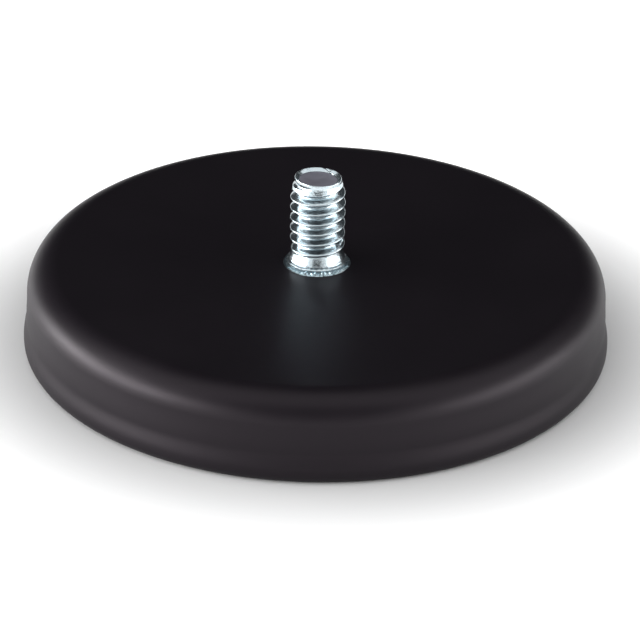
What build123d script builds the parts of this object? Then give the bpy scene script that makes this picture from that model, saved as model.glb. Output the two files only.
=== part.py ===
from build123d import *
from math import ceil, cos, pi, radians, sin, tan
import os

# Round base magnet with a male threaded stud, in millimetres.
# The origin is the centre of the rim plane, and +Z runs along the stud.
# A drawn steel cup holds a ring magnet, and the stud is pressed through the cup from inside.

# Painted outline of the cup
overall_height = 10.3
rim_radius = 33.5
flare_out = 0.35
flare_rise = 2.3
shoulder_radius = 3.5
rim_edge_radius = 1.2
rim_band = 0.3

# Steel and paint
coat_thickness = 0.1
sheet_thickness = 1.9
least_corner = 0.2

# Ring magnet and its epoxy
face_recess = 0.2
magnet_bore_radius = 12.0
magnet_edge_break = 0.5
bond_thickness = 0.1
bond_margin = 0.4
potting_gap = 1.15
potting_recess = 0.7

# Thread, 1/4-20 UNC-2A, right hand
thread_radius = 3.125
thread_pitch = 1.27
thread_start_angle = 108
flank_angle = 30
end_chamfer = 0.43
end_dish_margin = 0.15
end_dish_depth = 0.3

# Body of the stud
stud_length = 12.85
head_radius = 6.35
head_thickness = 1.5
head_edge_break = 0.3
foot_relief = 0.09
foot_height = 0.5
foot_blend = 0.5
shank_relief = 0.305
shank_length = 0.6

# Ribs that broach the cup's bore, and the unpainted ring that they push up
rib_count = 36
rib_height = 0.25
rib_clearance = 0.045
bare_ring_width = 0.44
bead_height = 0.22

# Cutters run this far past what they cut
overcut = 1.0

# Levels, from the rim plane up
steel_top = overall_height - coat_thickness
floor_under = steel_top - sheet_thickness
magnet_top = floor_under - bond_thickness
edge_centre_height = rim_edge_radius - coat_thickness
flare_foot = edge_centre_height + rim_band
neck_height = flare_foot + flare_rise
head_face = floor_under - head_thickness
rib_end = steel_top + bead_height
foot_top = overall_height + foot_height
shank_base = foot_top + foot_blend
thread_start = shank_base + shank_length
stud_end = floor_under + stud_length

# Radii that follow
wall_radius = rim_radius - flare_out
cup_inset = coat_thickness + sheet_thickness
inner_corner = max(shoulder_radius - cup_inset, least_corner)
magnet_radius = wall_radius - cup_inset - potting_gap
magnet_seat_break = max(magnet_edge_break, inner_corner - potting_gap)
bond_radius = magnet_radius - magnet_seat_break
rib_root_radius = thread_radius + rib_clearance
rib_tip_radius = rib_root_radius + rib_height
bare_ring_radius = rib_tip_radius + bare_ring_width
foot_radius = rib_root_radius - foot_relief
shank_radius = thread_radius - shank_relief

# Unified thread form, from its pitch
crest_flat = thread_pitch / 8
thread_depth = 0.6134 * thread_pitch
thread_root_radius = thread_radius - thread_depth
thread_weld = thread_pitch / 16


# Solid of turning about the stud's axis, from a closed outline of radii and levels
def turned(edges):
    return revolve(Plane.XZ * make_face(edges), Axis.Z)


def disc(radius, low, high):
    return Pos(0, 0, low) * extrude(Circle(radius), high - low)


# Upper part of the cup's outline at a depth below the painted surface:
# flat top, rounded shoulder, straight wall, then two arcs that flare out to the rim band
def wall_outline(inset):
    top = overall_height - inset
    corner = max(shoulder_radius - inset, least_corner)
    wall = wall_radius - inset
    rim = rim_radius - inset
    turn = ((wall + rim) / 2, (neck_height + flare_foot) / 2)
    return [
        Line((0, top), (wall - corner, top)),
        RadiusArc((wall - corner, top), (wall, top - corner), corner),
        Line((wall, top - corner), (wall, neck_height)),
        TangentArc((wall, neck_height), turn, tangent=(0, -1)),
        TangentArc((rim, flare_foot), turn, tangent=(0, 1)),
    ]


# Filled cup, down to the round of its rim edge
def outer_body(inset):
    rim = rim_radius - inset
    edge = rim_edge_radius - inset
    foot = edge_centre_height - edge
    return turned(
        wall_outline(inset)
        + [
            Line((rim, flare_foot), (rim, edge_centre_height)),
            RadiusArc((rim, edge_centre_height), (rim - edge, foot), edge),
            Line((rim - edge, foot), (0, foot)),
            Line((0, foot), (0, overall_height - inset)),
        ]
    )


# Space inside the cup, down to a level
def inner_space(foot):
    rim = rim_radius - cup_inset
    return turned(
        wall_outline(cup_inset)
        + [
            Line((rim, flare_foot), (rim, foot)),
            Line((rim, foot), (0, foot)),
            Line((0, foot), (0, floor_under)),
        ]
    )


# Ribbed neck, also the shape that it broaches in the cup
def ribbed_neck(low, high):
    half_step = pi / rib_count
    points = []
    for index in range(2 * rib_count):
        radius = rib_tip_radius if index % 2 else rib_root_radius
        points.append((radius * cos(index * half_step), radius * sin(index * half_step)))
    return Pos(0, 0, low) * extrude(Polygon(*points, align=None), high - low)


# Metal pushed up round the ribs: a low bead, highest at the rib tips
def bore_bead():
    inner = rib_tip_radius - bare_ring_width
    crest = (rib_tip_radius, steel_top + bead_height)
    return turned(
        [
            Line((inner, steel_top), (bare_ring_radius, steel_top)),
            ThreePointArc((inner, steel_top), crest, (bare_ring_radius, steel_top)),
        ]
    )


def make_steel_cup():
    shell = outer_body(coat_thickness) - inner_space(-overcut)
    return shell + bore_bead() - ribbed_neck(floor_under - overcut, rib_end + overcut)


# Film over the outside, ended by the ground rim plane and by the bare ring round the stud
def make_paint_coat():
    film = outer_body(0) - outer_body(coat_thickness)
    below_rim = disc(rim_radius + overcut, -rim_edge_radius, 0)
    return film - below_rim - disc(bare_ring_radius, floor_under, overall_height + overcut)


# Ferrite ring: broken edges at the pole face, and a seat edge that clears the cup's corner
def make_ring_magnet():
    small = magnet_edge_break
    seat = magnet_seat_break
    outline = Polyline(
        (magnet_bore_radius, face_recess + small),
        (magnet_bore_radius + small, face_recess),
        (magnet_radius - small, face_recess),
        (magnet_radius, face_recess + small),
        (magnet_radius, magnet_top - seat),
        (magnet_radius - seat, magnet_top),
        (magnet_bore_radius + small, magnet_top),
        (magnet_bore_radius, magnet_top - small),
        close=True,
    )
    return turned(outline.edges())


# Adhesive between the magnet's back and the cup's floor
def make_bond_film():
    inner = magnet_bore_radius + magnet_edge_break + bond_margin
    return disc(bond_radius, magnet_top, floor_under) - disc(inner, magnet_top, floor_under)


# Epoxy in the gap between the magnet and the cup, short of the rim plane
def make_potting_ring():
    gap = inner_space(potting_recess) - disc(bond_radius, 0, overall_height)
    return gap - make_ring_magnet()


# Head inside the cup, foot, blend and shank, closed by a cone inside the thread
def stud_body():
    edge = head_edge_break
    core = thread_root_radius - thread_weld
    cone_tip = thread_start + shank_radius - core
    head = Polyline(
        (0, head_face),
        (head_radius - edge, head_face),
        (head_radius, head_face + edge),
        (head_radius, floor_under - edge),
        (head_radius - edge, floor_under),
        (foot_radius, floor_under),
        (foot_radius, foot_top),
    )
    blend = RadiusArc((shank_radius, shank_base), (foot_radius, foot_top), -2 * foot_blend)
    shank = Polyline(
        (shank_radius, shank_base),
        (shank_radius, thread_start),
        (core, cone_tip),
        (0, cone_tip),
        (0, head_face),
    )
    return turned([*head.edges(), blend, *shank.edges()])


# Rod with the whole thread: the ridge's axial section, swept along its helix onto a core
def threaded_rod():
    base = thread_start - thread_pitch
    length = (ceil((stud_end - base) / thread_pitch) + 1) * thread_pitch
    half_crest = crest_flat / 2
    half_root = half_crest + (thread_depth + thread_weld) * tan(radians(flank_angle))
    inner = thread_root_radius - thread_weld
    section = Polyline(
        (inner, base - half_root),
        (thread_radius, base - half_crest),
        (thread_radius, base + half_crest),
        (inner, base + half_root),
        close=True,
    )
    path = Helix(thread_pitch, length, thread_root_radius, center=(0, 0, base))
    ridge = sweep(Plane.XZ * make_face(section.edges()), path=path, is_frenet=True)
    core = disc(thread_root_radius, base - thread_pitch, base + length + thread_pitch)
    return core + Rot(0, 0, thread_start_angle) * ridge


# Stretch of the rod that the stud keeps: a run-out cone at the shank, a chamfer at the end
def thread_envelope():
    outer = thread_radius + thread_weld
    end_radius = thread_radius - end_chamfer
    outline = Polyline(
        (0, thread_start),
        (shank_radius, thread_start),
        (outer, thread_start + outer - shank_radius),
        (outer, stud_end - outer + end_radius),
        (end_radius, stud_end),
        (0, stud_end),
        close=True,
    )
    return turned(outline.edges())


# Shallow hollow that cold heading leaves in the stud's end
def end_dish():
    dish_radius = thread_root_radius - end_dish_margin
    ball_radius = (dish_radius**2 + end_dish_depth**2) / (2 * end_dish_depth)
    return Pos(0, 0, stud_end + ball_radius - end_dish_depth) * Sphere(ball_radius)


def make_threaded_stud():
    thread = threaded_rod() & thread_envelope()
    return stud_body() + ribbed_neck(floor_under, rib_end) + thread - end_dish()


nodes = {
    "steel_cup": make_steel_cup(),
    "paint_coat": make_paint_coat(),
    "threaded_stud": make_threaded_stud(),
    "ring_magnet": make_ring_magnet(),
    "bond_film": make_bond_film(),
    "potting_ring": make_potting_ring(),
}

os.makedirs("parts", exist_ok=True)
for name, shape in nodes.items():
    export_step(shape, f"parts/{name}.step")
    print(name, len(shape.solids()), "solid,", round(shape.volume, 1), "mm3")
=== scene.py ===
# Round base magnet: painted steel cup, ring magnet inside, zinc plated stud through the middle.
# Lengths in the dictionaries are millimetres, angles degrees and phases of waves radians.
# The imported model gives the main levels.
import math

import bpy
import numpy as np
from mathutils import Matrix, Vector


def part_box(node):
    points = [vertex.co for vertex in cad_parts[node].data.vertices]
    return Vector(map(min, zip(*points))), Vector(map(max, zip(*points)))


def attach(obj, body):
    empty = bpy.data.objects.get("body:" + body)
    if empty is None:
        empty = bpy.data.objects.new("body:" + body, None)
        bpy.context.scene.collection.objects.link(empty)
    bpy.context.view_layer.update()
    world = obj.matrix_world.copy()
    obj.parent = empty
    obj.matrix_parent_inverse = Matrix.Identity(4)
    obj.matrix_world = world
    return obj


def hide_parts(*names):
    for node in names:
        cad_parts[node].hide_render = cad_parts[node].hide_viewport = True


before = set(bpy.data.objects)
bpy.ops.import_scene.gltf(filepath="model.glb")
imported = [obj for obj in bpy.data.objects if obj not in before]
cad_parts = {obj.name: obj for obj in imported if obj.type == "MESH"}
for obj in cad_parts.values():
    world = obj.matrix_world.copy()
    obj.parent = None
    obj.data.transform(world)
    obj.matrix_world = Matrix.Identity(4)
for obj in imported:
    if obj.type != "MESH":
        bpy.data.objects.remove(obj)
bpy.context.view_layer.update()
print("frame loaded:", ", ".join(sorted(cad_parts)))

mm = 0.001
turn = 2 * math.pi


# Lowest (0) or highest (1) corner of a node along an axis, in millimetres
def nodeLevel(node, corner, axis):
    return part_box(node)[corner][axis] / mm


# A grid of points (rows, columns, 3) becomes quads, and the columns close round the axis.
# With loop the rows close into a ring, else each end row is filled to one middle point.
# Rows that run up the outside and columns that turn left give faces that point outwards.
def surfaceFromGrid(name, grid, loop):
    rows, columns = grid.shape[:2]
    low = np.arange(rows * columns).reshape(rows, columns)
    high = np.roll(low, -1, axis=0)
    if not loop:
        low, high = low[:-1], high[:-1]
    corners = [low, np.roll(low, -1, axis=1), np.roll(high, -1, axis=1), high]
    faces = np.stack(corners, axis=-1).reshape(-1, 4).tolist()
    points = grid.reshape(-1, 3)
    if not loop:
        first, last = low[0], high[-1]
        firstPole = np.full(columns, len(points))
        lastPole = firstPole + 1
        points = np.vstack([points, grid[:1].mean(axis=1), grid[-1:].mean(axis=1)])
        faces += np.stack([firstPole, np.roll(first, -1), first], axis=-1).tolist()
        faces += np.stack([lastPole, last, np.roll(last, -1)], axis=-1).tolist()
    mesh = bpy.data.meshes.new(name)
    mesh.from_pydata((points * mm).tolist(), [], faces)
    mesh.polygons.foreach_set("use_smooth", np.ones(len(mesh.polygons), dtype=bool))
    mesh.update()
    piece = bpy.data.objects.new(name, mesh)
    bpy.context.scene.collection.objects.link(piece)
    print(name, "has", len(mesh.polygons), "faces")
    return piece


# Angles of the columns, as one row
def columnAngles(columns):
    return np.linspace(0, turn, columns, endpoint=False)[None]


# Radius and height arrays turned about the Z axis: x = r cos, y = r sin
def turnedGrid(radius, height, theta):
    radius, height, theta = np.broadcast_arrays(radius, height, theta)
    return np.stack([radius * np.cos(theta), radius * np.sin(theta), height], axis=-1)


# Straight runs between corners (radius, height, rounding). Each rounded corner is an arc
# that meets both runs, with one more point just outside each end to keep the runs flat.
def roundedPath(corners, arcSteps=6, support=0.02):
    corners = np.array(corners, dtype=float)
    path = [corners[:1, :2]]
    for before, corner, after in zip(corners, corners[1:], corners[2:]):
        here, rounding = corner[:2], corner[2]
        toBefore, toAfter = before[:2] - here, after[:2] - here
        toBefore, toAfter = toBefore / np.linalg.norm(toBefore), toAfter / np.linalg.norm(toAfter)
        half = 0.5 * math.acos(np.clip(toBefore @ toAfter, -1, 1))
        middle = (toBefore + toAfter) / np.linalg.norm(toBefore + toAfter)
        centre = here + middle * rounding / math.sin(half)
        start = here + toBefore * rounding / math.tan(half)
        end = here + toAfter * rounding / math.tan(half)
        startAngle = math.atan2(*(start - centre)[::-1])
        endAngle = math.atan2(*(end - centre)[::-1])
        sweep = (endAngle - startAngle + math.pi) % turn - math.pi
        angles = startAngle + sweep * np.linspace(0, 1, arcSteps + 1)
        arc = centre + rounding * np.stack([np.cos(angles), np.sin(angles)], axis=-1)
        path += [start[None] + toBefore * support, arc, end[None] + toAfter * support]
    path.append(corners[-1:, :2])
    return np.vstack(path)


# The same path with evenly spaced points put between its own
def refinedPath(path, count):
    along = np.cumsum(np.linalg.norm(np.diff(path, axis=0, prepend=path[:1]), axis=1))
    steps = np.union1d(along, np.linspace(0, along[-1], count))
    return np.stack([np.interp(steps, along, column) for column in path.T], axis=-1)


# Cubic step from 0 to 1 with level ends
def smoothStep(value, start, end):
    share = np.clip((value - start) / (end - start), 0, 1)
    return share * share * (3 - 2 * share)


# Degrees brought to between -180 and 180
def signedDegrees(angle):
    return (angle + 180) % 360 - 180


# Zero below the corner and the value above it, with a bend rounded over the softness
def softRamp(value, softness):
    return np.logaddexp(0, value / softness) * softness


# Uneven edge round a circle: the mean of a few whole-number waves (count, phase)
def edgeRipple(theta, waves):
    return sum(np.sin(count * theta + phase) for count, phase in waves) / len(waves)


cup = {
    "rimRadius": nodeLevel("paint_coat", 1, 0),
    "topHeight": nodeLevel("paint_coat", 1, 2),
    "floorUnder": nodeLevel("bond_film", 1, 2),
    "neckRadius": 33.17,
    "neckHeight": 3.75,
    "flareFoot": 1.43,
    "edgeRadius": 1.22,
    "shoulderBaseRadius": 33.07,
    "shoulderRadius": 3.52,
    "coat": 0.1,
    "sheet": 1.9,
    "rimHeight": 0.6,
    "rimRounding": 0.12,
    "rimLand": 0.4,
    "edgeRows": 14,
    "wallRows": 36,
    "cornerRows": 32,
    "columns": 504,
}
steelTop = cup["topHeight"] - cup["coat"]


# Outside of the cup at a depth below the painted surface, from the rim up to the flat top.
# The rim edge and the shoulder are arcs. The wall between leans in a little as it rises,
# by one cubic step from the rim to the neck and a smaller one up to the shoulder.
def cupOutline(inset, edgeAngles):
    rim, neck, shoulderBase = cup["rimRadius"], cup["neckRadius"], cup["shoulderBaseRadius"]
    edgeCentre = cup["edgeRadius"] - cup["coat"]
    edge = cup["edgeRadius"] - inset
    edgeRadii = rim - cup["edgeRadius"] + edge * np.cos(edgeAngles)
    edgeHeights = edgeCentre + edge * np.sin(edgeAngles)
    shoulderFoot = cup["topHeight"] - cup["shoulderRadius"]
    wallHeights = np.linspace(edgeCentre, shoulderFoot, cup["wallRows"])[1:-1]
    flare = (rim - neck) * smoothStep(wallHeights, cup["flareFoot"], cup["neckHeight"])
    lean = (neck - shoulderBase) * smoothStep(wallHeights, cup["neckHeight"], shoulderFoot)
    wallRadii = rim - inset - flare - lean
    rise = np.linspace(0, math.pi / 2, cup["cornerRows"])
    corner = cup["shoulderRadius"] - inset
    shoulderRadii = shoulderBase - cup["shoulderRadius"] + corner * np.cos(rise)
    shoulderHeights = shoulderFoot + corner * np.sin(rise)
    radius = np.concatenate([edgeRadii, wallRadii, shoulderRadii])
    height = np.concatenate([edgeHeights, wallHeights, shoulderHeights])
    return np.stack([radius, height], axis=-1)


paintEdge = {
    "ringRadius": 3.86,
    "flat": 0.1,
    "rounding": 0.06,
    "undercut": 0.03,
    "footRounding": 0.01,
    "lap": 0.5,
    "ripple": 0.07,
    "waves": [(3, 0.4), (7, 1.9), (11, 4.2), (19, 2.2), (29, 5.1)],
    "fade": (0.1, 0.6),
}


# Painted skin: the outside, the small rounded edge at the bare ring, then back along the
# steel. Near the bare ring the radius follows a ripple, as masked paint does.
def makePaintSkin():
    ring = paintEdge["ringRadius"]
    grindAngle = -math.asin(1 - cup["coat"] / cup["edgeRadius"])
    outside = cupOutline(0, np.linspace(grindAngle, 0, cup["edgeRows"]))
    steel = cupOutline(cup["coat"], np.linspace(-math.pi / 2, 0, cup["edgeRows"]))[::-1]
    edge = [
        (outside[-1, 0] - paintEdge["flat"], cup["topHeight"], 0),
        (ring, cup["topHeight"], paintEdge["rounding"]),
        (ring - paintEdge["undercut"], steelTop, paintEdge["footRounding"]),
        (ring + paintEdge["lap"], steelTop, 0),
    ]
    profile = np.vstack([outside, roundedPath(edge), steel])
    theta = columnAngles(cup["columns"])
    radius, height = profile[:, :1], profile[:, 1:]
    fadeStart, fadeEnd = (ring + reach for reach in paintEdge["fade"])
    nearRing = 1 - smoothStep(radius, fadeStart, fadeEnd)
    radius = radius + nearRing * paintEdge["ripple"] * edgeRipple(theta, paintEdge["waves"])
    return surfaceFromGrid("paintSkin", turnedGrid(radius, height, theta), loop=True)


ribs = {"count": 36, "tipRadius": 3.42, "rootRadius": 3.17}


# How far the ribs' flanks lie inside their tips: a triangle wave with one peak for each rib
def ribRelief(theta):
    share = theta * ribs["count"] / turn % 1
    return np.abs(2 * share - 1) * (ribs["tipRadius"] - ribs["rootRadius"])


# The bead's heights are its least and its most, and its rise and the power and fall of its
# slopes are shares of the way from the foot to the bore. Burr waves are (count, phase, twist).
bead = {
    "footGap": 0.12,
    "boreGap": 0.01,
    "heights": (0.02, 0.38),
    "middle": -80,
    "reach": 100,
    "rise": (0.02, 0.62),
    "power": 1.3,
    "fall": 0.7,
    "ripple": 0.38,
    "waves": [(5, 0.5), (11, 3.3), (19, 1.1), (36, 0)],
    "burrDepth": 0.13,
    "burrAtFoot": 0.4,
    "burrWaves": [(23, 0.3, 3), (41, 2.0, -6), (59, 4.1, 8), (83, 1.2, -5), (107, 5.0, 11)],
    "boreTop": 0.2,
    "boreChamfer": 0.05,
    "flatRows": (0.15, 0.3, 0.6),
    "ribFade": 0.12,
    "rows": 30,
}


# Height of the bead above the steel. It rises from its foot by a power curve and falls by a
# cubic step to the bore. Its size is a raised cosine about one side, with a ripple, and its
# burrs are a sum of waves that turn as they go inwards.
def beadHeight(inward, theta):
    aside = signedDegrees(np.degrees(theta) - bead["middle"])
    lift = 0.5 + 0.5 * np.cos(math.pi * np.clip(aside / bead["reach"], -1, 1))
    low, high = bead["heights"]
    size = (low + (high - low) * lift) * (1 + bead["ripple"] * edgeRipple(theta, bead["waves"]))
    riseStart, crest = bead["rise"]
    rise = np.clip((inward - riseStart) / (crest - riseStart), 0, 1)
    hump = (1 - (1 - rise) ** bead["power"]) * (1 - bead["fall"] * smoothStep(inward, crest, 1))
    waves = bead["burrWaves"]
    burr = sum(np.sin(count * theta + phase + twist * inward) for count, phase, twist in waves)
    burr = bead["burrDepth"] * lift * (bead["burrAtFoot"] + inward) * burr / math.sqrt(len(waves))
    return hump * (size + burr)


# Steel under the paint: outside, bead pushed up round the ribs, toothed bore, then the
# inside of the cup and the ground rim. The bore follows the ribs of the stud, and a few more
# rows keep the cup's floor flat round it.
def makeCupShell():
    under = cup["floorUnder"]
    outside = cupOutline(cup["coat"], np.linspace(-math.pi / 2, 0, cup["edgeRows"]))
    inside = cupOutline(cup["coat"] + cup["sheet"], np.zeros(1))[::-1]
    bore = ribs["tipRadius"] + bead["boreGap"]
    foot = paintEdge["ringRadius"] + bead["footGap"]
    share = np.linspace(0, 1, bead["rows"])
    hill = np.stack([foot - (foot - bore) * share, np.full(len(share), steelTop)], axis=-1)
    chamfer = bead["boreChamfer"]
    wall = [(bore, steelTop - bead["boreTop"]), (bore, under + chamfer), (bore + chamfer, under)]
    wall += [(bore + gap, under) for gap in bead["flatRows"]]
    innerRadius = inside[-1, 0]
    rim = [
        (innerRadius, cup["rimHeight"], 0),
        (innerRadius, 0, cup["rimRounding"]),
        (innerRadius + cup["rimLand"], 0, 0),
    ]
    profile = np.vstack([outside, hill, wall, inside, roundedPath(rim, support=0.04)])
    theta = columnAngles(cup["columns"])
    radius, height = profile[:, :1], profile[:, 1:]
    onBead = np.isclose(height, steelTop) & (radius < foot)
    height = height + onBead * beadHeight((foot - radius) / (foot - bore), theta)
    radius = radius - (1 - smoothStep(radius, bore, bore + bead["ribFade"])) * ribRelief(theta)
    return surfaceFromGrid("cupShell", turnedGrid(radius, height, theta), loop=True)


# The head and the end are levels of the model, and other heights are above the painted top.
# The crest's flat is a share of the pitch, and the start and end pairs count thread turns.
# The taper gives radii by the distance from the end, and the dish gives (radius, height,
# rounding) from its outer edge inwards.
stud = {
    "headRadius": nodeLevel("threaded_stud", 1, 0),
    "headFace": nodeLevel("threaded_stud", 0, 2),
    "end": nodeLevel("threaded_stud", 1, 2),
    "headMiddle": 0.5,
    "headRoundings": (0.3, 0.2),
    "ribTop": 0.46,
    "ribRoundings": (0.02, 0.04),
    "ribShoulder": 0.18,
    "footRadius": 3.22,
    "footStep": (0.04, 0.05),
    "threadGap": 0.07,
    "footTop": 0.7,
    "neckTop": 2.05,
    "neckPower": 1.25,
    "shankRadius": 2.82,
    "crestRadius": 3.14,
    "rootRadius": 2.35,
    "flankAngle": 60,
    "crestFlat": 0.125,
    "crestSoftness": 0.05,
    "rootSoftness": 0.08,
    "capSoftness": 0.03,
    "pitch": 1.27,
    "firstCrest": 2.49,
    "crestStart": (-0.78, -0.2),
    "grooveStart": (-1.1, -0.35),
    "grooveEnd": (5.35, 5.85),
    "taper": [(0, 2.64), (0.5, 2.7), (1.0, 2.83), (1.5, 2.97), (2.0, 3.1), (2.4, 3.2)],
    "dish": [(2.66, -0.12, 0), (2.61, 0, 0.02), (2.2, -0.37, 0.1), (0.3, -0.4, 0)],
    "endSlope": (-0.03, -0.03),
    "slopeFade": (1.2, 0.3),
    "rimRipple": 0.02,
    "rimWaves": [(2, 0.6), (3, 2.1), (5, 4.0), (9, 1.2)],
    "nick": {"radii": (2.2, 2.6), "angles": (44, 74), "width": 3.5, "depth": 0.09, "lead": 0.1},
    "burr": {"heights": (2.85, 3.5), "angles": (-35, -19), "width": 2, "radius": 3.24, "fade": 0.1},
    "dishRows": 60,
    "columns": 216,
    "rowsPerPitch": 38,
}


# Radius of the part above the ribs. A V groove is cut off at the root and at the crest, with
# rounded bends. It grows out of the plain shank where the rolling starts and fades where it
# ends. A burr crosses one groove as a slanted bell-shaped ridge. The neck widens to the foot
# by a power curve, and the taper at the end caps the crests.
def shankRadius(above, theta):
    shank, crest, root = stud["shankRadius"], stud["crestRadius"], stud["rootRadius"]
    pitch = stud["pitch"]
    turns = (above - stud["firstCrest"]) / pitch - theta / turn
    nearestCrest = np.round(turns)
    fromCrest = np.abs(turns - nearestCrest) * pitch
    slope = math.tan(math.radians(stud["flankAngle"]))
    sharp = crest + slope * (pitch * stud["crestFlat"] / 2 - fromCrest)
    wave = root + softRamp(sharp - root, stud["rootSoftness"])
    wave = wave - softRamp(sharp - crest, stud["crestSoftness"])
    relief = wave - shank
    crestTurns = nearestCrest + theta / turn
    grooveTurns = np.floor(turns) + theta / turn
    crestShare = smoothStep(crestTurns, *stud["crestStart"])
    grooveShare = smoothStep(grooveTurns, *stud["grooveStart"])
    grooveShare = grooveShare * (1 - smoothStep(grooveTurns, *stud["grooveEnd"]))
    radius = shank + relief * np.where(relief > 0, crestShare, grooveShare)
    burr = stud["burr"]
    slant = np.interp(above, burr["heights"], burr["angles"])
    aside = signedDegrees(np.degrees(theta) - slant) / burr["width"]
    start, end = burr["heights"]
    along = smoothStep(above, start, start + burr["fade"])
    along = along * (1 - smoothStep(above, end - burr["fade"], end))
    radius = radius + (burr["radius"] - radius) * along * np.exp(-(aside**2))
    neck = np.clip((stud["neckTop"] - above) / (stud["neckTop"] - stud["footTop"]), 0, 1)
    radius = radius + (stud["footRadius"] - shank) * neck ** stud["neckPower"]
    fromEnd, capRadius = np.transpose(stud["taper"])
    cap = np.interp(stud["end"] - cup["topHeight"] - above, fromEnd, capRadius)
    return cap - softRamp(cap - radius, stud["capSoftness"])


# Dished end of the stud. The rim has a ripple, and a slanted nick runs in from it as a
# bell-shaped groove.
def dishedEnd(dish, theta):
    radius, height = dish[:, :1], dish[:, 1:]
    nick = stud["nick"]
    aside = (np.degrees(theta) - np.interp(radius, nick["radii"], nick["angles"])) / nick["width"]
    dent = nick["depth"] * np.exp(-(aside**2)) * (radius > nick["radii"][0] - nick["lead"])
    ripple = stud["rimRipple"] * (edgeRipple(theta, stud["rimWaves"]) - 1)
    nearRim = smoothStep(height, stud["dish"][0][1], 0)
    return turnedGrid(radius, stud["end"] + height + nearRim * ripple - dent, theta)


# Stud from the flat head up through the ribs and the thread to the dished end, as one
# surface of radius by angle and height. The end falls away by a plane, brought in by a cubic
# step of the height, so it slopes down a little to the back as a sheared rod's does.
def makeStudBody():
    head, face, foot = stud["headRadius"], stud["headFace"], stud["footRadius"]
    under, tip = cup["floorUnder"], ribs["tipRadius"]
    ribHeight = cup["topHeight"] + stud["ribTop"]
    shoulder = ribHeight + stud["ribShoulder"]
    stepIn, stepUp = stud["footStep"]
    corners = [
        (stud["headMiddle"], face, 0),
        (head, face, stud["headRoundings"][0]),
        (head, under, stud["headRoundings"][1]),
        (tip, under, stud["ribRoundings"][0]),
        (tip, ribHeight, stud["ribRoundings"][1]),
        (foot - stepIn, shoulder, stud["ribRoundings"][0]),
        (foot, shoulder + stepUp, 0),
    ]
    theta = columnAngles(stud["columns"])
    lower = roundedPath(corners)
    radius, height = lower[:, :1], lower[:, 1:]
    onRibs = smoothStep(radius, foot, ribs["rootRadius"]) * (radius <= tip) * (height > under)
    lowerGrid = turnedGrid(radius - onRibs * ribRelief(theta), height, theta)
    dish = refinedPath(roundedPath(stud["dish"])[1:], stud["dishRows"])
    start = shoulder + stud["threadGap"]
    length = stud["end"] + dish[0, 1] - start
    rows = int(length / stud["pitch"] * stud["rowsPerPitch"])
    height = (start + length * np.linspace(0, 1, rows, endpoint=False))[:, None]
    threadGrid = turnedGrid(shankRadius(height - cup["topHeight"], theta), height, theta)
    grid = np.concatenate([lowerGrid, threadGrid, dishedEnd(dish, theta)])
    slope, rimRadius = np.array(stud["endSlope"]), stud["dish"][1][0]
    fall = np.hypot(*slope) * rimRadius - grid[..., :2] @ slope
    fadeStart, fadeEnd = (stud["end"] - below for below in stud["slopeFade"])
    grid[..., 2] -= fall * smoothStep(grid[..., 2], fadeStart, fadeEnd)
    return surfaceFromGrid("studBody", grid, loop=False)


# Chip widths are in radians, and the least width and depth are shares of the most
magnet = {
    "outerRadius": nodeLevel("ring_magnet", 1, 0),
    "innerRadius": 12,
    "face": nodeLevel("ring_magnet", 0, 2),
    "back": nodeLevel("ring_magnet", 1, 2),
    "edgeBreak": 0.35,
    "outerChips": {"count": 46, "widest": 0.09, "seed": 5},
    "innerChips": {"count": 23, "widest": 0.18, "seed": 8},
    "chipDepth": 0.55,
    "chipReach": 1.1,
    "leastWidth": 0.15,
    "leastDepth": 0.2,
    "rows": 110,
    "columns": 600,
}


# Chips along an edge: at each angle the deepest of many bumps, each a bell curve with a flat
# top, the fourth power of the distance in its exponent
def edgeChips(theta, count, widest, seed):
    draw = np.random.default_rng(seed)
    centre = draw.uniform(0, turn, (count, 1))
    width = widest * draw.uniform(magnet["leastWidth"], 1, (count, 1))
    depth = magnet["chipDepth"] * draw.uniform(magnet["leastDepth"], 1, (count, 1)) * width / widest
    away = (theta - centre + math.pi) % turn - math.pi
    return (depth * np.exp(-((away / width) ** 4))).max(axis=0, keepdims=True)


# Pressed ring with small broken edges. Each chip lowers the corner along both faces, less
# with the distance from the corner.
def makeFerriteRing():
    outer, inner = magnet["outerRadius"], magnet["innerRadius"]
    face, back, edgeBreak = magnet["face"], magnet["back"], magnet["edgeBreak"]
    middle = 0.5 * (outer + inner)
    edges = [(outer, face), (outer, back), (inner, back), (inner, face)]
    corners = [(middle, face, 0), *((*edge, edgeBreak) for edge in edges), (middle, face, 0)]
    profile = refinedPath(roundedPath(corners, support=0.1), magnet["rows"])[:-1]
    theta = columnAngles(magnet["columns"])
    radius, height = profile[:, :1], profile[:, 1:]
    newRadius, newHeight = radius, height
    for corner, chips, inward in ((outer, "outerChips", -1), (inner, "innerChips", 1)):
        near = 1 - smoothStep(np.hypot(radius - corner, height - face), 0, magnet["chipReach"])
        chip = near * edgeChips(theta, **magnet[chips])
        newRadius = newRadius + inward * chip
        newHeight = newHeight + chip
    return surfaceFromGrid("ferriteRing", turnedGrid(newRadius, newHeight, theta), loop=True)


bond = {
    "outerRadius": nodeLevel("bond_film", 1, 0),
    "low": nodeLevel("bond_film", 0, 2),
    "filmInnerRadius": 12.4,
    "beadWidth": 0.75,
    "beadDepth": 0.6,
    "beadOverlap": 0.05,
    "beadRipple": 0.55,
    "beadWaves": [(2, 0.3), (5, 2.4), (8, 4.6), (17, 0.9)],
    "beadRows": 12,
    "columns": 360,
}


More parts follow.
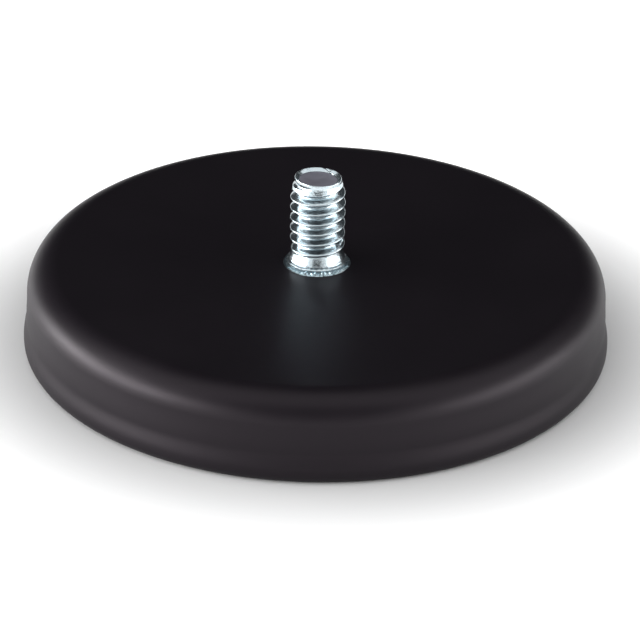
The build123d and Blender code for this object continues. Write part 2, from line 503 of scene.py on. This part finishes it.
# Adhesive film on the back of the magnet, with the squeezed-out fillet in the corner of the
# bore. The fillet is a concave quarter ellipse whose size follows a ripple.
def makeBondBead():
    theta = columnAngles(bond["columns"])
    high, low, outer = cup["floorUnder"], bond["low"], bond["outerRadius"]
    size = 1 + bond["beadRipple"] * edgeRipple(theta, bond["beadWaves"])
    angle = np.linspace(0, math.pi / 2, bond["beadRows"])[:, None]
    filletRadius = magnet["innerRadius"] + bond["beadOverlap"]
    filletRadius = filletRadius - bond["beadWidth"] * size * (1 - np.sin(angle))
    filletHeight = high - bond["beadDepth"] * size * (1 - np.cos(angle))
    film = np.array([(bond["filmInnerRadius"], low), (outer, low), (outer, high)])
    filmGrid = turnedGrid(film[:, :1], film[:, 1:], theta)
    filletGrid = turnedGrid(filletRadius, filletHeight, theta)
    return surfaceFromGrid("bondBead", np.concatenate([filmGrid, filletGrid]), loop=True)


# Bubbles lie between two shares of the gap's width, and the least is a share of the largest
potting = {
    "level": nodeLevel("potting_ring", 0, 2),
    "climb": 0.28,
    "climbPower": 4,
    "wave": 0.05,
    "waves": [(2, 1.0), (3, 0.2), (7, 2.8), (12, 5.0)],
    "bubbles": 70,
    "bubbleRadius": 0.16,
    "leastBubble": 0.35,
    "bubbleBand": (0.15, 0.85),
    "seed": 12,
    "overlap": 0.02,
    "sideRise": 0.5,
    "faceRows": 24,
    "columns": 720,
}


# Resin in the gap round the magnet. Its face is level with a little wave, it climbs both
# walls by a power of the way from the middle, and bubbles leave bell-shaped pits.
def makePottingRing():
    inner, level = magnet["outerRadius"] - potting["overlap"], potting["level"]
    outline = cupOutline(cup["coat"] + cup["sheet"] - potting["overlap"], np.zeros(1))
    gap = outline[0, 0] - inner
    theta = columnAngles(potting["columns"])
    across = np.linspace(0, 1, potting["faceRows"])[:, None]
    faceRadius = inner + gap * across
    faceHeight = level + potting["wave"] * edgeRipple(theta, potting["waves"])
    faceHeight = faceHeight - potting["climb"] * np.abs(2 * across - 1) ** potting["climbPower"]
    draw = np.random.default_rng(potting["seed"])
    pitAngle = draw.uniform(0, turn, (potting["bubbles"], 1, 1))
    pitRadius = inner + gap * draw.uniform(*potting["bubbleBand"], pitAngle.shape)
    pitSize = potting["bubbleRadius"] * draw.uniform(potting["leastBubble"], 1, pitAngle.shape)
    away = np.hypot((theta - pitAngle) * faceRadius, faceRadius - pitRadius) / pitSize
    faceHeight = faceHeight + (pitSize * np.exp(-(away**2))).max(axis=0)
    wall = outline[outline[:, 1] > level]
    side = np.array([(inner, cup["floorUnder"]), (inner, level + potting["sideRise"])])
    bands = [(faceRadius, faceHeight), (wall[:, :1], wall[:, 1:]), (side[:, :1], side[:, 1:])]
    grid = np.concatenate([turnedGrid(radius, height, theta) for radius, height in bands])
    return surfaceFromGrid("pottingRing", grid, loop=True)


# Linear colour from an sRGB hex value
def hexColour(code):
    channels = [int(code[start : start + 2], 16) / 255 for start in (1, 3, 5)]
    linear = [c / 12.92 if c <= 0.04045 else ((c + 0.055) / 1.055) ** 2.4 for c in channels]
    return (*linear, 1)


# Pattern scale for features of a size in millimetres, on Object coordinates in metres
def perLength(size):
    return 1 / (size * mm)


# Adds a node to a tree. Settings are its properties or its inputs, by name or number, and
# links give (node, output) for its inputs.
def addNode(tree, kind, settings=None, links=None):
    node = tree.nodes.new(kind)
    for name, value in (settings or {}).items():
        if isinstance(name, str) and hasattr(node, name):
            setattr(node, name, value)
        else:
            node.inputs[name].default_value = value
    for name, (source, output) in (links or {}).items():
        tree.links.new(source.outputs[output], node.inputs[name])
    return node


# New material with an empty tree
def startMaterial(name):
    material = bpy.data.materials.new(name)
    material.use_nodes = True
    material.node_tree.nodes.clear()
    return material


# Joins a shader to the material's output
def finishMaterial(material, shader):
    addNode(material.node_tree, "ShaderNodeOutputMaterial", links={"Surface": (shader, 0)})
    return material


noiseBand = (0.3, 0.7)  # nearly all of a noise lies between these values


# The nodes that the finishes share, on Object coordinates. Clouds of noise mix the two
# colours and spread the roughness, and a finer noise is the relief. Where a finish has
# streaks, the relief is stretched along them and spreads the roughness itself.
# Clouds and relief are (size, detail, fineness), and the results are (node, output).
def addMottle(tree, finish):
    onPiece = onRelief = (addNode(tree, "ShaderNodeTexCoord"), "Object")
    if "streaks" in finish:
        streaks = addNode(tree, "ShaderNodeMapping", finish["streaks"], {"Vector": onPiece})
        onRelief = (streaks, 0)
    noises = {}
    for part, place in (("clouds", onPiece), ("relief", onRelief)):
        size, detail, fineness = finish[part]
        settings = {"Scale": perLength(size), "Detail": detail, "Roughness": fineness}
        noises[part] = addNode(tree, "ShaderNodeTexNoise", settings, {"Vector": place})
    low, high = (hexColour(code) for code in finish["colours"])
    colour = addNode(
        tree,
        "ShaderNodeMix",
        {"data_type": "RGBA", 6: low, 7: high},
        {0: (noises["clouds"], "Fac")},
    )
    (least, most), (smooth, rough) = noiseBand, finish["roughness"]
    limits = {"From Min": least, "From Max": most, "To Min": smooth, "To Max": rough}
    spread = noises["relief" if "streaks" in finish else "clouds"]
    sheen = addNode(tree, "ShaderNodeMapRange", limits, {"Value": (spread, "Fac")})
    bump = addNode(
        tree,
        "ShaderNodeBump",
        {"Strength": 1, "Distance": finish["reliefDepth"] * mm},
        {"Height": (noises["relief"], "Fac")},
    )
    return onPiece, (colour, 2), (sheen, 0), (bump, 0)


# Material from the shared nodes and the settings of its shader
def mottledMaterial(name, finish):
    material = startMaterial(name)
    tree = material.node_tree
    _, colour, sheen, bump = addMottle(tree, finish)
    links = {"Base Color": colour, "Roughness": sheen, "Normal": bump}
    shader = addNode(tree, "ShaderNodeBsdfPrincipled", finish["shader"], links)
    return finishMaterial(material, shader)


# Satin black stoving paint, sprayed: near black with a soft wide sheen. The orange peel,
# about 0.3 mm in fact, is drawn at 0.7 mm so that it shows.
paintFinish = {
    "colours": ("#0c080d", "#110d12"),
    "clouds": (14, 4, 0.6),
    "roughness": (0.42, 0.49),
    "relief": (0.7, 2, 0.5),
    "reliefDepth": 0.004,
    "shader": {"IOR": 1.34, "Specular Tint": hexColour("#fff3fc")},
}
paint = mottledMaterial("satinBlackPaint", paintFinish)

# Zinc plate on drawn deep-drawing sheet: duller and greyer than on the stud, because the
# drawn sheet is rougher. The same clouds show where the tool rubbed.
cupFinish = {
    "colours": ("#7b9ba8", "#ccd6da"),
    "clouds": (1.2, 6, 0.6),
    "roughness": (0.14, 0.28),
    "relief": (0.2, 3, 0.5),
    "reliefDepth": 0.006,
    "shader": {"Metallic": 1},
}
cupPlate = mottledMaterial("dullZincPlate", cupFinish)

# Sintered strontium ferrite, ground flat: charcoal with a dull grey shine and fine straight
# grinding lines, drawn about three times their real width
ferriteFinish = {
    "colours": ("#2b2b2e", "#47474b"),
    "clouds": (0.5, 8, 0.7),
    "roughness": (0.42, 0.6),
    "streaks": {"Rotation": (0, 0, 0.6), "Scale": (0.02, 1, 1)},  # turned in radians
    "relief": (0.35, 4, 0.7),
    "reliefDepth": 0.01,
    "shader": {"IOR": 2.0},
}
ferrite = mottledMaterial("groundFerrite", ferriteFinish)

# Black filled epoxy, poured and cured: a dark wet gloss with soft uneven waves
resinFinish = {
    "colours": ("#121314", "#1f2021"),
    "clouds": (3, 4, 0.5),
    "roughness": (0.16, 0.3),
    "relief": (1.5, 2, 0.5),
    "reliefDepth": 0.02,
    "shader": {"IOR": 1.55},
}
resin = mottledMaterial("pouredResin", resinFinish)

studFinish = {
    "colours": ("#afc3cd", "#d6dddf"),
    "clouds": (1.6, 5, 0.65),
    "roughness": (0.15, 0.27),
    "endRadius": (2.15, 2.3),
    "endColour": "#d4d2e0",
    "endRoughness": 0.3,
    "relief": (0.25, 2, 0.5),
    "reliefDepth": 0.02,
}


# Bright zinc plate with a clear blue passivate, on rolled steel: a cool metal shine, with
# faint bluish clouds. The end, sheared and not rolled, is duller and greyer in its dish, by
# the distance from its middle. The crystals, a few hundredths wide in fact, are drawn at
# 0.25 mm.
def brightZincPlate():
    material = startMaterial("brightZincPlate")
    tree = material.node_tree
    onPiece, colour, sheen, bump = addMottle(tree, studFinish)
    endPlace = {"Location": (0, 0, -stud["end"] * mm)}
    fromEnd = addNode(tree, "ShaderNodeMapping", endPlace, {"Vector": onPiece})
    distance = addNode(tree, "ShaderNodeVectorMath", {"operation": "LENGTH"}, {0: (fromEnd, 0)})
    near, far = (radius * mm for radius in studFinish["endRadius"])
    sheared = addNode(
        tree,
        "ShaderNodeMapRange",
        {"From Min": near, "From Max": far, "To Min": 1, "To Max": 0},
        {"Value": (distance, "Value")},
    )
    plated = addNode(
        tree,
        "ShaderNodeMix",
        {"data_type": "RGBA", 7: hexColour(studFinish["endColour"])},
        {0: (sheared, 0), 6: colour},
    )
    roughness = addNode(
        tree,
        "ShaderNodeMath",
        {"operation": "MULTIPLY_ADD", 1: studFinish["endRoughness"]},
        {0: (sheared, 0), 2: sheen},
    )
    shader = addNode(
        tree,
        "ShaderNodeBsdfPrincipled",
        {"Metallic": 1},
        {"Base Color": (plated, 2), "Roughness": (roughness, 0), "Normal": bump},
    )
    return finishMaterial(material, shader)


studPlate = brightZincPlate()
print("finishes ready")


# Gives a piece its material and its body, and hides the model's node that it stands for
def dress(piece, material, node):
    piece.data.materials.append(material)
    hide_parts(node)
    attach(piece, "root")


dress(makePaintSkin(), paint, "paint_coat")
dress(makeCupShell(), cupPlate, "steel_cup")
dress(makeStudBody(), studPlate, "threaded_stud")
dress(makeFerriteRing(), ferrite, "ring_magnet")
dress(makeBondBead(), resin, "bond_film")
dress(makePottingRing(), resin, "potting_ring")
print("pieces dressed")


floorFinish = {
    "radii": (31.8, 2800),
    "colour": "#dcdcdc",
    "glow": 0.95,
    # No glow inside the first radius, a painted shade round the object; full glow past the second
    "paintedShadeRadii": (30, 60),
    "columns": 180,
}


# White laminate with a matt surface. Away from the object it glows a little for the camera
# and for mirror and glass rays, by a cubic step of the radius, so that it reads as white and
# still takes the shadow. Near the object the glow falls to nothing. This paints a grey shade on
# the floor round the object, and the cup's wall mirrors that shade as a darker floor. It is clear
# from below.
def whiteTable():
    material = startMaterial("whiteTable")
    tree = material.node_tree
    matt = addNode(tree, "ShaderNodeBsdfDiffuse", {"Color": hexColour(floorFinish["colour"])})
    place = addNode(tree, "ShaderNodeTexCoord")
    fromMiddle = addNode(
        tree, "ShaderNodeVectorMath", {"operation": "LENGTH"}, {0: (place, "Object")}
    )
    # Inside near the glow is nothing: painted shade on the floor round the object, also in
    # reflections
    near, far = (radius * mm for radius in floorFinish["paintedShadeRadii"])
    limits = {"From Min": near, "From Max": far, "To Min": 0, "To Max": floorFinish["glow"]}
    strength = addNode(
        tree,
        "ShaderNodeMapRange",
        {"interpolation_type": "SMOOTHSTEP", **limits},
        {"Value": (fromMiddle, "Value")},
    )
    glow = addNode(tree, "ShaderNodeEmission", links={"Strength": (strength, 0)})
    ray = addNode(tree, "ShaderNodeLightPath")
    seen = (ray, "Is Camera Ray")
    for kind in ("Is Glossy Ray", "Is Transmission Ray"):
        either = {0: seen, 1: (ray, kind)}
        seen = (addNode(tree, "ShaderNodeMath", {"operation": "MAXIMUM"}, either), 0)
    dark = addNode(tree, "ShaderNodeEmission", {"Strength": 0})
    seenGlow = addNode(tree, "ShaderNodeMixShader", links={0: seen, 1: (dark, 0), 2: (glow, 0)})
    upper = addNode(tree, "ShaderNodeAddShader", links={0: (matt, 0), 1: (seenGlow, 0)})
    clear = addNode(tree, "ShaderNodeBsdfTransparent")
    side = addNode(tree, "ShaderNodeNewGeometry")
    sides = {0: (side, "Backfacing"), 1: (upper, 0), 2: (clear, 0)}
    return finishMaterial(material, addNode(tree, "ShaderNodeMixShader", links=sides))


# Pale table top, a flat ring. Its hole, which the rim covers, lets light reach the underside.
def makeFloor():
    columns = floorFinish["columns"]
    radii = np.array(floorFinish["radii"])[:, None]
    corners = turnedGrid(radii, 0.0, columnAngles(columns)).reshape(-1, 3) * mm
    inner = np.arange(columns)
    following = np.roll(inner, -1)
    faces = np.stack([inner, inner + columns, following + columns, following], axis=-1)
    mesh = bpy.data.meshes.new("tableTop")
    mesh.from_pydata(corners.tolist(), [], faces.tolist())
    floor = bpy.data.objects.new("tableTop", mesh)
    bpy.context.scene.collection.objects.link(floor)
    mesh.materials.append(whiteTable())


# Azimuth from the front, positive to the right, elevation, distance, width, height, and
# brightness, which is the lamp's radiance: a mirror would show it as that many times white
softboxes = {
    "leftSoftbox": (-90, 8, 420, 420, 118, 16.5),
    "leftMiddle": (-56, 9, 450, 190, 140, 8),
    "leftHighSoftbox": (-84, 46, 420, 470, 190, 1.2),
    "leftFill": (-32, 9, 480, 230, 150, 1.25),
    "frontStrip": (0, 3, 480, 300, 48, 0.65),
    "rightFill": (33, 9, 480, 240, 150, 1.05),
    "rightSoftbox": (77, 8.5, 420, 490, 125, 7),
    "rightHighSoftbox": (84, 46, 420, 470, 190, 1.2),
    "lowSoftbox": (20, -70, 600, 900, 700, 2.2),
    "topSoftbox": (0, 74, 640, 760, 640, 1.1),
}
roomLight = {"colour": "#e9eef5", "strength": 0.06}


# Flat lamp that faces the object. Its power is pi times its area times its brightness.
def addSoftbox(name, azimuth, elevation, distance, width, height, brightness):
    around, up = math.radians(azimuth), math.radians(elevation)
    level = math.cos(up)
    direction = Vector((math.sin(around) * level, -math.cos(around) * level, math.sin(up)))
    lamp = bpy.data.lights.new(name, "AREA")
    lamp.shape = "RECTANGLE"
    lamp.size, lamp.size_y = width * mm, height * mm
    lamp.energy = math.pi * lamp.size * lamp.size_y * brightness
    softbox = bpy.data.objects.new(name, lamp)
    softbox.location = direction * distance * mm
    softbox.rotation_euler = (-direction).to_track_quat("-Z", "Y").to_euler()
    bpy.context.scene.collection.objects.link(softbox)


cameraPlace = {
    "target": (0.47, 0, 2.73),
    "elevation": 27.76,
    "roll": 1.015,
    "distance": 531.85,
    "lens": 260.47,
    "sensor": 36,
    "clip": (10, 20000),
}


# Camera in front of the object and above it, rolled a little about its own axis
def addCamera():
    tilt, roll = math.radians(cameraPlace["elevation"]), math.radians(cameraPlace["roll"])
    back = Vector((0, -math.cos(tilt), math.sin(tilt)))
    level, rise = Vector((1, 0, 0)), Vector((0, math.sin(tilt), math.cos(tilt)))
    right = math.cos(roll) * level + math.sin(roll) * rise
    up = math.cos(roll) * rise - math.sin(roll) * level
    lens = bpy.data.cameras.new("studioCamera")
    lens.lens, lens.sensor_width = cameraPlace["lens"], cameraPlace["sensor"]
    lens.clip_start, lens.clip_end = (reach * mm for reach in cameraPlace["clip"])
    camera = bpy.data.objects.new("studioCamera", lens)
    place = (Vector(cameraPlace["target"]) + back * cameraPlace["distance"]) * mm
    camera.matrix_world = Matrix.Translation(place) @ Matrix((right, up, back)).transposed().to_4x4()
    bpy.context.scene.collection.objects.link(camera)
    bpy.context.scene.camera = camera


makeFloor()
for lampName, lampPlace in softboxes.items():
    addSoftbox(lampName, *lampPlace)
world = bpy.data.worlds.new("studioRoom")
world.use_nodes = True
room = world.node_tree.nodes["Background"].inputs
room["Color"].default_value = hexColour(roomLight["colour"])
room["Strength"].default_value = roomLight["strength"]
bpy.context.scene.world = world
bpy.context.scene.view_settings.view_transform = "Standard"
addCamera()
print("studio ready")
